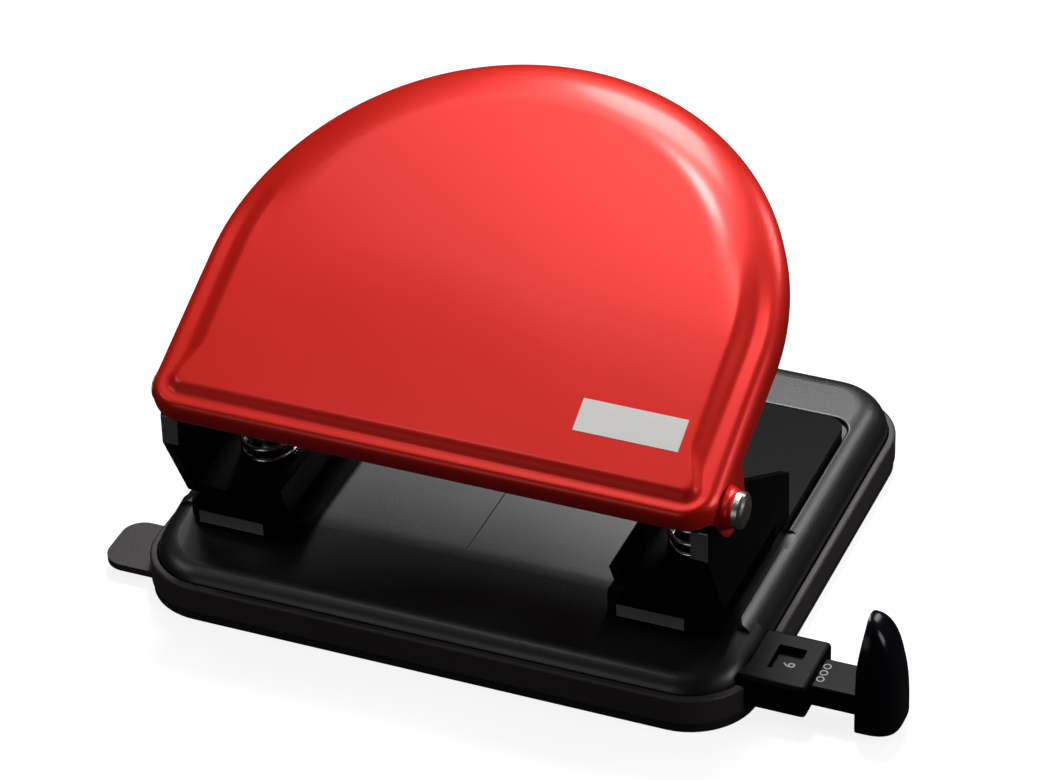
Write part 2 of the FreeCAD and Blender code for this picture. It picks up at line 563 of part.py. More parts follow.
def make_ears():
    """Both ears: the skirt's own wall carried down round the pivot, curved with the front corners."""
    root = SKIRT_ABOVE_PIVOT + PAST
    reach = HANDLE_HALF_WIDTH + PAST
    outline = [V(-reach, EAR_BACK_ROOT, root), V(-reach, EAR_BACK, -EAR_DROP),
               V(-reach, -EAR_FRONT, -EAR_DROP), V(-reach, -EAR_FRONT, root)]
    profile = fillet_where(extruded(outline, V(2 * reach, 0, 0)), EAR_CORNER,
                           lambda b: level(b, -EAR_DROP) and b.XLength > reach)
    wall = handle_plan(0, HANDLE_FRONT_CORNER, -EAR_DROP - PAST, root).cut(
        handle_plan(HANDLE_SHEET, HANDLE_FRONT_CORNER - HANDLE_SHEET, -EAR_DROP - 2 * PAST, root + PAST))
    middle = block(-HOLE_X, HOLE_X, -HANDLE_FRONT_FROM_PIVOT - PAST, EAR_BACK_ROOT + PAST,
                   -EAR_DROP - PAST, root + PAST)
    return profile.common(wall).cut(middle)


def make_handle():
    skirt_top = SKIRT_ABOVE_PIVOT + SKIRT_HEIGHT
    panel_top = skirt_top + PANEL_RISE
    outer = rounded_plan(0, HANDLE_FRONT_CORNER, SKIRT_ABOVE_PIVOT, skirt_top, SKIRT_ROUND)
    outer = outer.fuse(rounded_plan(PANEL_INSET, PANEL_CORNER, SKIRT_ABOVE_PIVOT, panel_top, PANEL_ROUND))
    inner = rounded_plan(HANDLE_SHEET, HANDLE_FRONT_CORNER - HANDLE_SHEET, SKIRT_ABOVE_PIVOT - PAST,
                         skirt_top - HANDLE_SHEET, SKIRT_ROUND - HANDLE_SHEET)
    inner_panel = rounded_plan(PANEL_INSET + HANDLE_SHEET, PANEL_CORNER - HANDLE_SHEET, SKIRT_ABOVE_PIVOT,
                               panel_top - HANDLE_SHEET, PANEL_ROUND - HANDLE_SHEET)
    shell = outer.cut(inner.fuse(inner_panel))
    boss = cylinder(PIVOT_BOSS / 2, V(HANDLE_HALF_WIDTH - HANDLE_SHEET / 2, 0, 0),
                    V(HANDLE_HALF_WIDTH + PIVOT_BOSS_HEIGHT, 0, 0))
    shell = shell.fuse([make_ears(), boss]).removeSplitter()
    reach = HANDLE_HALF_WIDTH + PIVOT_BOSS_HEIGHT + PAST
    shell = shell.cut(cylinder(PIVOT_SHANK / 2 + RUNNING_CLEARANCE, V(-reach, 0, 0), V(reach, 0, 0)))
    return place_on_pivot(shell)


def make_press_bar():
    """Bar welded under the panel; its rounded nose reaches past both pins."""
    half = HOLE_X + PIN_RADIUS + PRESS_BAR_PAST_PIN
    half_top = HANDLE_HALF_WIDTH - PANEL_INSET - PANEL_ROUND - BODY_GAP
    under_rim = SKIRT_ABOVE_PIVOT + SKIRT_HEIGHT - HANDLE_SHEET - BODY_GAP
    under_panel = SKIRT_ABOVE_PIVOT + SKIRT_HEIGHT + PANEL_RISE - HANDLE_SHEET
    nose_angle = math.radians(NOSE_START_DEG - HANDLE_TILT_DEG)
    nose_u = PRESS_RADIUS * math.cos(nose_angle)
    thick = PRESS_BAR_SHEET
    front = nose_u - thick / 2
    nose_centre = PRESS_RADIUS * math.sin(nose_angle) + thick / 2
    lower = block(-half, half, front, front + thick, nose_centre, under_rim)
    upper = block(-half_top, half_top, front, front + thick, nose_centre, under_panel)
    nose = cylinder(thick / 2, V(-half, nose_u, nose_centre), V(half, nose_u, nose_centre))
    flange = block(-half_top, half_top, front, front + PRESS_BAR_FLANGE, under_panel - thick, under_panel)
    return place_on_pivot(lower.fuse([upper, nose, flange]).removeSplitter())


# ---------------------------------------------------------------- pivot hardware
def head_outline(x, radius, rise):
    """Domed head as (x, radius) points: a straight rim to half its height, then a quarter ellipse."""
    angles = [math.radians(step) for step in (0, 30, 60, 90)]
    return [(x + rise / 2 * (1 + math.sin(a)), radius / 2 * (1 + math.cos(a))) for a in angles]


def make_rivet(head_diameter, rise, boss_height):
    """Shouldered rivet along +X; its inner head is closed on the tower, its outer head holds the ear."""
    ear_outer = HANDLE_HALF_WIDTH + boss_height + RUNNING_CLEARANCE
    plate_inner = TOWER_OUTER_X - TOWER_SHEET
    inner = head_outline(plate_inner, PIVOT_INNER_HEAD / 2, -PIVOT_INNER_HEAD_HEIGHT)
    outer = head_outline(ear_outer, head_diameter / 2, rise)
    outline = [(plate_inner - PIVOT_INNER_HEAD_HEIGHT, 0)] + inner[::-1]
    outline += [(plate_inner, PIVOT_INNER_HEAD / 2), (plate_inner, PIVOT_SHANK / 2)]
    outline += [(ear_outer, PIVOT_SHANK / 2), (ear_outer, head_diameter / 2)]
    outline += outer + [(ear_outer + rise, 0)]
    shape = turned(outline)
    shape.translate(V(0, PIVOT_Y, PIVOT_Z))
    return shape


def make_washer():
    start = V(TOWER_OUTER_X, PIVOT_Y, PIVOT_Z)
    end = V(TOWER_OUTER_X + WASHER_THICKNESS, PIVOT_Y, PIVOT_Z)
    return cylinder(WASHER_DIAMETER / 2, start, end).cut(
        cylinder(PIVOT_SHANK / 2, start - V(1, 0, 0), end + V(1, 0, 0)))


# ---------------------------------------------------------------- paper guide
def rail_tunnel(x0, x1):
    gap = RUNNING_CLEARANCE * 2
    return block(x0, x1, GUIDE_Y - RAIL_WIDTH / 2 - gap, GUIDE_Y + RAIL_WIDTH / 2 + gap,
                 RAIL_BOTTOM - gap, RAIL_BOTTOM + RAIL_THICKNESS + gap)


def make_housing():
    top = HOUSING_BOTTOM + HOUSING_HEIGHT
    sleeve = block(BASE_HALF_WIDTH, HOUSING_END_X, GUIDE_Y - HOUSING_WIDTH / 2,
                   GUIDE_Y + HOUSING_WIDTH / 2, HOUSING_BOTTOM, top)
    sleeve = fillet_where(sleeve, HOUSING_ROUND, lambda b: b.XMax > HOUSING_END_X - 1e-3 or
                          (level(b, top) and b.XLength > HOUSING_ROUND))
    neck_half = HOUSING_WIDTH / 2 - HOUSING_NECK_SIDE
    neck = block(NECK_END_X, BASE_HALF_WIDTH + PAST, GUIDE_Y - neck_half, GUIDE_Y + neck_half,
                 BASE_BOTTOM, top - HOUSING_NECK_TOP)
    window_x = (BASE_HALF_WIDTH + HOUSING_END_X) / 2
    window = block(window_x - WINDOW_LENGTH / 2, window_x + WINDOW_LENGTH / 2,
                   GUIDE_Y - WINDOW_WIDTH / 2, GUIDE_Y + WINDOW_WIDTH / 2, RAIL_BOTTOM + PAST, top + PAST)
    housing = sleeve.fuse(neck).removeSplitter()
    return housing.cut(rail_tunnel(NECK_END_X - PAST, HOUSING_END_X + PAST)).cut(window)


def make_rail():
    rail = block(RAIL_INNER_END, STOP_X + RAIL_PLUG, GUIDE_Y - RAIL_WIDTH / 2, GUIDE_Y + RAIL_WIDTH / 2,
                 RAIL_BOTTOM, RAIL_BOTTOM + RAIL_THICKNESS)
    rail = fillet_where(rail, RAIL_ROUND, lambda b: b.XLength > RAIL_WIDTH)
    head = block(RAIL_INNER_END, RAIL_INNER_END + RAIL_HEAD_LENGTH,
                 GUIDE_Y - RAIL_WIDTH / 2 - RAIL_HEAD_EXTRA, GUIDE_Y + RAIL_WIDTH / 2 + RAIL_HEAD_EXTRA,
                 RAIL_BOTTOM, RAIL_BOTTOM + RAIL_THICKNESS)
    rail = rail.fuse(head).removeSplitter()
    detent_x = NECK_END_X + HOUSING_NECK_INSIDE / 2
    for setting in PAPER_SETTINGS:
        x = detent_x + STOP_X - setting
        foot = V(x, GUIDE_Y + RAIL_WIDTH / 2, RAIL_BOTTOM - PAST)
        rail = rail.cut(cylinder(DETENT_RADIUS, foot, foot + V(0, 0, RAIL_THICKNESS + 2 * PAST)))
    return rail


def make_stop():
    """Upright end stop: flat towards the paper, arched to a point and rounded over on the outside."""
    half = STOP_WIDTH / 2
    tip = STOP_BOTTOM + STOP_HEIGHT
    shoulder = STOP_BOTTOM + STOP_STRAIGHT
    middle_z = shoulder + STOP_ARCH_RISE
    left = V(STOP_X, GUIDE_Y - half, STOP_BOTTOM)
    right = V(STOP_X, GUIDE_Y + half, STOP_BOTTOM)
    left_up = V(STOP_X, GUIDE_Y - half, shoulder)
    right_up = V(STOP_X, GUIDE_Y + half, shoulder)
    point = V(STOP_X, GUIDE_Y, tip)
    arch = Part.Face(Part.Wire([
        Part.makeLine(left, right), Part.makeLine(right, right_up),
        Part.Arc(right_up, V(STOP_X, GUIDE_Y + STOP_ARCH_HALF, middle_z), point).toShape(),
        Part.Arc(point, V(STOP_X, GUIDE_Y - STOP_ARCH_HALF, middle_z), left_up).toShape(),
        Part.makeLine(left_up, left)])).extrude(V(STOP_THICKNESS, 0, 0))
    y0 = GUIDE_Y - half - PAST
    outer_x = STOP_X + STOP_THICKNESS
    outside = V(outer_x, y0, STOP_BOTTOM)
    outside_up = V(outer_x, y0, STOP_BOTTOM + STOP_STRAIGHT / 2)
    tip_out = V(STOP_X + STOP_TIP, y0, tip)
    lean = V(STOP_X, y0, STOP_BOTTOM + STOP_LEAN_START)
    side = Part.Face(Part.Wire([
        Part.makeLine(V(STOP_X, y0, STOP_BOTTOM), outside), Part.makeLine(outside, outside_up),
        Part.Arc(outside_up, V(outer_x - STOP_BACK_IN, y0, STOP_BACK_Z), tip_out).toShape(),
        Part.Arc(tip_out, (tip_out + lean) / 2 + V(-STOP_LEAN_BOW, 0, 0), lean).toShape(),
        Part.makeLine(lean, V(STOP_X, y0, STOP_BOTTOM))])).extrude(V(0, STOP_WIDTH + 2 * PAST, 0))
    bullet = arch.common(side)
    bullet = fillet_where(bullet, STOP_ROUND,
                          lambda b: b.XMin > outer_x - 1e-3 and b.YLength < 1e-3 and b.ZLength > STOP_ROUND)
    socket = block(STOP_X - PAST, STOP_X + RAIL_PLUG, GUIDE_Y - RAIL_WIDTH / 2, GUIDE_Y + RAIL_WIDTH / 2,
                   RAIL_BOTTOM, RAIL_BOTTOM + RAIL_THICKNESS)
    return bullet.cut(socket)


# ---------------------------------------------------------------- build and export
def main():
    os.makedirs("parts", exist_ok=True)
    export("non_slip_pad", make_pad())
    export("chip_tray", make_tray())
    export("base_shell", make_base())
    export("left_die_plate", make_die_plate(-1))
    export("right_die_plate", make_die_plate(1))
    for name, maker in (("tower", make_tower), ("punch_pin", make_pin), ("spring", make_spring),
                        ("retaining_ring", make_ring), ("pivot_washer", make_washer)):
        right = maker()
        export("right_" + name, right)
        export("left_" + name, mirrored(right))
    export("right_pivot_rivet", make_rivet(PIVOT_HEAD, PIVOT_HEAD_HEIGHT, PIVOT_BOSS_HEIGHT))
    export("left_pivot_rivet", mirrored(make_rivet(PIVOT_LEFT_HEAD, PIVOT_LEFT_HEAD_HEIGHT, 0)))
    export("handle_shell", make_handle())
    export("press_bar", make_press_bar())
    export("guide_housing", make_housing())
    export("guide_rail", make_rail())
    export("guide_stop", make_stop())


main()
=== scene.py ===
# %% [markdown]
# # A two-hole paper punch
#
# A desk punch of pressed steel: a red D-shaped handle over a black base, two sprung pins, a plastic
# chip tray and a sliding paper guide. The frame brings every piece at its real size. This lesson
# gives each of them its finish, and builds again, as smooth surfaces, the pieces whose looks depend
# on soft curves: the pressed handle with its boss, the folded bar under it, the two springs and the
# guide's end stop. Last come the printed marks, the studio and the camera.

# %% Load the frame
import json
import math

import bpy
import numpy as np
from mathutils import Matrix, Vector


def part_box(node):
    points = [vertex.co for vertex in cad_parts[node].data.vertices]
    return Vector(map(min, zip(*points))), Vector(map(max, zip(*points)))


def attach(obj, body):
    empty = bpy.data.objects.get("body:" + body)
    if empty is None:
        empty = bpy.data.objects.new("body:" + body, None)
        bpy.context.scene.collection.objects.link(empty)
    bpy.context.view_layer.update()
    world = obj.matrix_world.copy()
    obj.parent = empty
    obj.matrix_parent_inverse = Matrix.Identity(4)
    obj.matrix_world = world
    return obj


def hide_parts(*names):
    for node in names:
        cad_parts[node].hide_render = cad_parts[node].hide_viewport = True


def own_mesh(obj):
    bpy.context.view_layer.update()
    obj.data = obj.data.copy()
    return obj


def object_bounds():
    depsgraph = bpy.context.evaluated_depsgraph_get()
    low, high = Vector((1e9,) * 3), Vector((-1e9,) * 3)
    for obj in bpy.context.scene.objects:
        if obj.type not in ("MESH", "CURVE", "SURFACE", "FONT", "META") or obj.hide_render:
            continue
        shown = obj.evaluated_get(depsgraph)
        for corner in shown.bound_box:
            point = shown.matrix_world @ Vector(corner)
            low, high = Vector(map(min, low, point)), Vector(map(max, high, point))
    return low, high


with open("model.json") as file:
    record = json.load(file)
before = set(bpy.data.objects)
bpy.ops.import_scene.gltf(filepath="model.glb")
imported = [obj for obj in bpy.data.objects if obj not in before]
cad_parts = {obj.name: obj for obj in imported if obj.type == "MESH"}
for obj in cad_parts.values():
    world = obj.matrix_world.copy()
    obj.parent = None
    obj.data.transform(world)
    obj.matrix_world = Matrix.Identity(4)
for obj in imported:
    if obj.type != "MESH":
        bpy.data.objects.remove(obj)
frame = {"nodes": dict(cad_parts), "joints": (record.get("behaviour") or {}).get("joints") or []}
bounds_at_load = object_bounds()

MM = 0.001  # one millimetre in the scene's metres
joints = {joint["name"]: joint for joint in frame["joints"]}
pivot = Vector(joints["handle_press"]["pos_m"])
print("nodes in the frame:", len(frame["nodes"]))
print("handle pivot, mm:", [round(c / MM, 2) for c in pivot])

# %% [markdown]
# ## Making a surface from two parameters
#
# Nearly every soft piece here is a sheet: one parameter runs around it and the other runs across it.
# NumPy works out all the points at once as a block of rows and columns. The two helpers below turn
# such a block into a mesh, so that no step has to think about faces again.

# %% Surface helpers


def skin(name, rows, close_columns=True, first_pole=None, last_pole=None, flat_ends=False, smooth=True):
    """A mesh object from a block of points, in millimetres, of shape (rows, columns, 3).
    Neighbouring points are joined in squares. A pole is one point that closes the first or last row,
    and flat ends close both rows with one face each."""
    count_rows, count_columns = rows.shape[:2]
    points = rows.reshape(-1, 3)
    index = np.arange(count_rows * count_columns).reshape(count_rows, count_columns)
    across = np.concatenate([index, index[:, :1]], axis=1) if close_columns else index
    squares = np.stack([across[:-1, :-1], across[:-1, 1:], across[1:, 1:], across[1:, :-1]], axis=-1)
    faces = squares.reshape(-1, 4).tolist()
    if flat_ends:
        faces += [index[0, ::-1].tolist(), index[-1].tolist()]
    for pole, ring, turned in ((first_pole, across[0], True), (last_pole, across[-1], False)):
        if pole is None:
            continue
        tip = len(points)
        points = np.vstack([points, np.asarray(pole, float)[None]])
        fan = np.stack([ring[:-1], ring[1:], np.full(len(ring) - 1, tip)], axis=-1)
        faces += (fan[:, ::-1] if turned else fan).tolist()
    mesh = bpy.data.meshes.new(name)
    mesh.from_pydata((points * MM).tolist(), [], faces)
    mesh.validate()
    mesh.polygons.foreach_set("use_smooth", np.full(len(mesh.polygons), smooth))
    piece = bpy.data.objects.new(name, mesh)
    bpy.context.scene.collection.objects.link(piece)
    return piece


def soft_step(value, start, end):
    """0 before start, 1 after end, and in between a smooth S: three times the square less twice the cube."""
    part = np.clip((value - start) / (end - start), 0, 1)
    return part * part * (3 - 2 * part)


def wire(name, path, radius, sides=20):
    """A round wire along a path of points, in millimetres, closed by a slightly domed end at each tip.
    Each ring is the radius times a circle, laid in the plane square to the path at that point."""
    along = np.gradient(path, axis=0)
    along /= np.linalg.norm(along, axis=1, keepdims=True)
    side = np.cross(along, [0, 0, 1.0])
    side /= np.linalg.norm(side, axis=1, keepdims=True)
    over = np.cross(along, side)
    turn = np.linspace(0, 2 * math.pi, sides, endpoint=False)[None, :, None]
    rings = path[:, None] + radius * (np.cos(turn) * side[:, None] + np.sin(turn) * over[:, None])
    return skin(
        name,
        rings,
        first_pole=path[0] - 0.3 * radius * along[0],
        last_pole=path[-1] + 0.3 * radius * along[-1],
    )


print("soft step a quarter of the way:", soft_step(0.25, 0, 1))

# %% [markdown]
# ## Finishes
#
# No made surface is one flat colour. Paint pools and thins, moulded plastic has a fine grain, and
# plated steel is faintly cloudy. One shared group makes that variation from two noises: a slow one
# moves the colour and the shine a little, and a fine one makes the grain. Each material then feeds
# its own shader with it. The noises read the object's own coordinates, in metres, so the grain has
# a real size and doesn't slide when a piece moves.

# %% Shared variation


def add_socket(group, name, kind, inward=True, value=None):
    """One socket on the outside of a node group, with its starting value."""
    socket = group.interface.new_socket(name, in_out="INPUT" if inward else "OUTPUT", socket_type=kind)
    if value is not None:
        socket.default_value = value
    return socket


def make_variation_group():
    """Slow clouds mix two colours and move the roughness, and a fine noise gives the height of the grain."""
    group = bpy.data.node_groups.new("made_surface_variation", "ShaderNodeTree")
    add_socket(group, "Vector", "NodeSocketVector")
    add_socket(group, "Light Colour", "NodeSocketColor", value=(0.5, 0.5, 0.5, 1))
    add_socket(group, "Dark Colour", "NodeSocketColor", value=(0.4, 0.4, 0.4, 1))
    add_socket(group, "Cloud Scale", "NodeSocketFloat", value=60)
    add_socket(group, "Grain Scale", "NodeSocketFloat", value=2500)
    add_socket(group, "Smoothest", "NodeSocketFloat", value=0.3)
    add_socket(group, "Roughest", "NodeSocketFloat", value=0.4)
    add_socket(group, "Colour", "NodeSocketColor", inward=False)
    add_socket(group, "Roughness", "NodeSocketFloat", inward=False)
    add_socket(group, "Grain", "NodeSocketFloat", inward=False)
    nodes, links = group.nodes, group.links
    source = nodes.new("NodeGroupInput")
    result = nodes.new("NodeGroupOutput")
    cloud = nodes.new("ShaderNodeTexNoise")
    cloud.inputs["Detail"].default_value = 3
    grain = nodes.new("ShaderNodeTexNoise")
    grain.inputs["Detail"].default_value = 2
    colour = nodes.new("ShaderNodeMix")
    colour.data_type = "RGBA"
    shine = nodes.new("ShaderNodeMapRange")
    both = nodes.new("ShaderNodeMath")
    both.operation = "MULTIPLY_ADD"
    both.inputs[1].default_value = 0.35
    links.new(source.outputs["Vector"], cloud.inputs["Vector"])
    links.new(source.outputs["Vector"], grain.inputs["Vector"])
    links.new(source.outputs["Cloud Scale"], cloud.inputs["Scale"])
    links.new(source.outputs["Grain Scale"], grain.inputs["Scale"])
    links.new(cloud.outputs["Fac"], colour.inputs["Factor"])
    links.new(source.outputs["Dark Colour"], colour.inputs["A"])
    links.new(source.outputs["Light Colour"], colour.inputs["B"])
    links.new(grain.outputs["Fac"], both.inputs[0])
    links.new(cloud.outputs["Fac"], both.inputs[2])
    links.new(both.outputs["Value"], shine.inputs["Value"])
    shine.inputs["From Min"].default_value = 0.35
    shine.inputs["From Max"].default_value = 1.0
    links.new(source.outputs["Smoothest"], shine.inputs["To Min"])
    links.new(source.outputs["Roughest"], shine.inputs["To Max"])
    links.new(colour.outputs["Result"], result.inputs["Colour"])
    links.new(shine.outputs["Result"], result.inputs["Roughness"])
    links.new(grain.outputs["Fac"], result.inputs["Grain"])
    return group


variation = make_variation_group()
print("variation group has", len(variation.nodes), "nodes")

# %% [markdown]
# A finish is then a material whose own shader takes colour, roughness and grain from the group. What
# is the same all over, such as how metallic it is, is set on the shader itself.

# %% A finish


def finish(
    name, light, dark, shine,
    cloud=60, grain=2500, depth=0.02, metallic=0.0, specular=0.5, coat=0.0,
):
    """A material that takes colour, roughness and grain from the shared variation. The shine is the
    smoothest and the roughest value, and the depth of the grain is in millimetres."""
    material = bpy.data.materials.new(name)
    material.use_nodes = True
    nodes, links = material.node_tree.nodes, material.node_tree.links
    shader = nodes["Principled BSDF"]
    place = nodes.new("ShaderNodeTexCoord")
    mapping = nodes.new("ShaderNodeMapping")
    mapping.name = "place of the pattern"
    vary = nodes.new("ShaderNodeGroup")
    vary.node_tree = variation
    vary.name = "variation"
    bump = nodes.new("ShaderNodeBump")
    bump.name = "grain"
    links.new(place.outputs["Object"], mapping.inputs["Vector"])
    links.new(mapping.outputs["Vector"], vary.inputs["Vector"])
    vary.inputs["Light Colour"].default_value = (*light, 1)
    vary.inputs["Dark Colour"].default_value = (*dark, 1)
    vary.inputs["Cloud Scale"].default_value = cloud
    vary.inputs["Grain Scale"].default_value = grain
    vary.inputs["Smoothest"].default_value = shine[0]
    vary.inputs["Roughest"].default_value = shine[1]
    links.new(vary.outputs["Colour"], shader.inputs["Base Color"])
    links.new(vary.outputs["Roughness"], shader.inputs["Roughness"])
    links.new(vary.outputs["Grain"], bump.inputs["Height"])
    bump.inputs["Distance"].default_value = depth * MM
    links.new(bump.outputs["Normal"], shader.inputs["Normal"])
    shader.inputs["Metallic"].default_value = metallic
    shader.inputs["Specular IOR Level"].default_value = specular
    shader.inputs["Coat Weight"].default_value = coat
    return material


print("a finish takes a name, two colours and a range of shine")

# %% [markdown]
# ## Bare steel where a painted sheet was cut
#
# The die plates and the brackets are cut from sheet after painting, so a few edges show bare steel.
# A second group marks such a place as a box: it is 1 inside and 0 outside. The pieces are mirrored
# in pairs, so the distance from the middle plane is taken without its sign, and one box serves both.

# %% Mark of a bare edge


def make_bare_edge_group():
    """1 inside a box and 0 outside: the least of the three half sizes less the distances from the centre."""
    group = bpy.data.node_groups.new("bare_edge", "ShaderNodeTree")
    add_socket(group, "Vector", "NodeSocketVector")
    add_socket(group, "Centre", "NodeSocketVector")
    add_socket(group, "Half Size", "NodeSocketVector")
    add_socket(group, "Mask", "NodeSocketFloat", inward=False)
    nodes, links = group.nodes, group.links
    source = nodes.new("NodeGroupInput")
    result = nodes.new("NodeGroupOutput")
    steps = [nodes.new("ShaderNodeVectorMath") for _ in range(4)]
    for node, operation in zip(steps, ("ABSOLUTE", "SUBTRACT", "ABSOLUTE", "SUBTRACT")):
        node.operation = operation
    parts = nodes.new("ShaderNodeSeparateXYZ")
    least = [nodes.new("ShaderNodeMath") for _ in range(2)]
    for node in least:
        node.operation = "MINIMUM"
    edge = nodes.new("ShaderNodeMapRange")
    edge.inputs["From Max"].default_value = 0.05 * MM
    links.new(source.outputs["Vector"], steps[0].inputs[0])
    links.new(steps[0].outputs["Vector"], steps[1].inputs[0])
    links.new(source.outputs["Centre"], steps[1].inputs[1])
    links.new(steps[1].outputs["Vector"], steps[2].inputs[0])
    links.new(source.outputs["Half Size"], steps[3].inputs[0])
    links.new(steps[2].outputs["Vector"], steps[3].inputs[1])
    links.new(steps[3].outputs["Vector"], parts.inputs["Vector"])
    links.new(parts.outputs["X"], least[0].inputs[0])
    links.new(parts.outputs["Y"], least[0].inputs[1])
    links.new(least[0].outputs["Value"], least[1].inputs[0])
    links.new(parts.outputs["Z"], least[1].inputs[1])
    links.new(least[1].outputs["Value"], edge.inputs["Value"])
    links.new(edge.outputs["Result"], result.inputs["Mask"])
    return group


bare_edge = make_bare_edge_group()
print("bare edge group has", len(bare_edge.nodes), "nodes")

# %% Bare steel on a finish
BARE_STEEL = (0.33, 0.32, 0.31)
BARE_METALLIC = 0.8


def bare_at(material, centre, half_size):
    """Bare steel on a painted material inside a box, given in millimetres from the middle plane."""
    nodes, links = material.node_tree.nodes, material.node_tree.links
    shader = nodes["Principled BSDF"]
    mark = nodes.new("ShaderNodeGroup")
    mark.node_tree = bare_edge
    mark.name = "bare edge"
    mark.inputs["Centre"].default_value = [c * MM for c in centre]
    mark.inputs["Half Size"].default_value = [c * MM for c in half_size]
    links.new(nodes["place of the pattern"].outputs["Vector"], mark.inputs["Vector"])
    colour = nodes.new("ShaderNodeMix")
    colour.data_type = "RGBA"
    colour.inputs["B"].default_value = (*BARE_STEEL, 1)
    links.new(mark.outputs["Mask"], colour.inputs["Factor"])
    links.new(nodes["variation"].outputs["Colour"], colour.inputs["A"])
    links.new(colour.outputs["Result"], shader.inputs["Base Color"])
    metal = nodes.new("ShaderNodeMath")
    metal.operation = "MULTIPLY"
    metal.inputs[1].default_value = BARE_METALLIC
    links.new(mark.outputs["Mask"], metal.inputs[0])
    links.new(metal.outputs["Value"], shader.inputs["Metallic"])


print("bare steel, linear red, green and blue:", BARE_STEEL)

# %% [markdown]
# ## The eleven finishes of this punch
#
# The handle is satin red over a bright primer, so it has a little metallic depth under a clear coat.
# The base is powder coated: dark, semi-matte and finely pebbled, with a thin skin of gloss on top.
# The die plates and the brackets are smoother and blacker, with bare steel where the sheet was cut.
# The tray is a mauve-grey moulding, the guide's stop is a glossier blue-black one on a matt rail, and
# the pad is rubber. The pins are ground steel, the springs drawn wire, and the rivets nickel-plated.

# %% Materials
red_paint = finish(
    "red_satin_paint", (0.80, 0.017, 0.009), (0.74, 0.014, 0.0075), (0.36, 0.42),
    cloud=45, grain=3500, depth=0.006, metallic=0.40, specular=0.35, coat=0.28,
)
red_shader = red_paint.node_tree.nodes["Principled BSDF"]
red_shader.inputs["Coat Roughness"].default_value = 0.17
black_paint = finish(
    "black_powder_coat", (0.0032, 0.0032, 0.0033), (0.0018, 0.0018, 0.0019), (0.38, 0.47),
    cloud=70, grain=2600, depth=0.03, specular=0.7,
)
black_shader = black_paint.node_tree.nodes["Principled BSDF"]
black_shader.inputs["Coat Weight"].default_value = 0.3
black_shader.inputs["Coat Roughness"].default_value = 0.24
plate_enamel = finish(
    "die_plate_black_enamel", (0.0022, 0.0022, 0.0022), (0.0013, 0.0013, 0.0013), (0.34, 0.42),
    cloud=70, grain=2200, depth=0.012, specular=0.05,
)
plate_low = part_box("right_die_plate")[0]
bare_at(plate_enamel, (40, -plate_low.y / MM, 13.5), (20, 0.12, 3))
tower_enamel = finish(
    "bracket_black_enamel", (0.0022, 0.0022, 0.0022), (0.0013, 0.0013, 0.0013), (0.36, 0.46),
    cloud=70, grain=2200, depth=0.012, specular=0.05,
)
tower_low, tower_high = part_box("right_tower")
bare_at(tower_enamel, (tower_high.x / MM - 1.5, -tower_low.y / MM, 35.75), (1.6, 0.12, 2.9))
tray_plastic = finish(
    "tray_mauve_grey_plastic", (0.045, 0.036, 0.042), (0.036, 0.029, 0.033), (0.42, 0.55),
    cloud=50, grain=3000, depth=0.03, specular=0.4,
)
pad_rubber = finish(
    "pad_matt_rubber", (0.022, 0.020, 0.021), (0.014, 0.013, 0.014), (0.75, 0.9),
    cloud=90, grain=1800, depth=0.05, specular=0.25,
)
guide_plastic = finish(
    "guide_blue_black_plastic", (0.0040, 0.0042, 0.0075), (0.0025, 0.0027, 0.0050), (0.16, 0.22),
    cloud=60, grain=1500, depth=0.004, specular=0.25,
)
rail_plastic = finish(
    "rail_matt_black_plastic", (0.0040, 0.0042, 0.0060), (0.0025, 0.0027, 0.0040), (0.30, 0.38),
    cloud=60, grain=1500, depth=0.004, specular=0.06,
)
pin_steel = finish(
    "pin_ground_steel", (0.62, 0.61, 0.59), (0.50, 0.49, 0.47), (0.18, 0.30),
    cloud=120, grain=4000, depth=0.004, metallic=1.0,
)
spring_steel = finish(
    "spring_drawn_wire", (0.78, 0.77, 0.74), (0.60, 0.59, 0.57), (0.16, 0.28),
    cloud=200, grain=4500, depth=0.004, metallic=1.0,
)
plated_steel = finish(
    "rivet_nickel_plate", (0.74, 0.71, 0.64), (0.52, 0.49, 0.43), (0.22, 0.40),
    cloud=420, grain=2200, depth=0.03, metallic=1.0,
)
print("materials:", sorted(material.name for material in bpy.data.materials))

# %% [markdown]
# ## Finishes onto the frame's own pieces
#
# The groups below give each piece of the frame its finish.

# %% Give the frame's pieces their materials
finish_of = {
    red_paint: ["handle_shell"],
    black_paint: ["base_shell", "press_bar"],
    plate_enamel: ["left_die_plate", "right_die_plate"],
    tower_enamel: ["left_tower", "right_tower"],
    tray_plastic: ["chip_tray"],
    pad_rubber: ["non_slip_pad"],
    guide_plastic: ["guide_stop"],
    rail_plastic: ["guide_housing", "guide_rail"],
    pin_steel: ["left_punch_pin", "right_punch_pin"],
    spring_steel: ["left_spring", "right_spring"],
    plated_steel: [
        "left_retaining_ring", "right_retaining_ring", "left_pivot_rivet", "right_pivot_rivet",
        "left_pivot_washer", "right_pivot_washer",
    ],
}
for material, names in finish_of.items():
    for name in names:
        mesh = frame["nodes"][name].data
        mesh.materials.clear()
        mesh.materials.append(material)
print("frame pieces finished:", sum(len(names) for names in finish_of.values()))

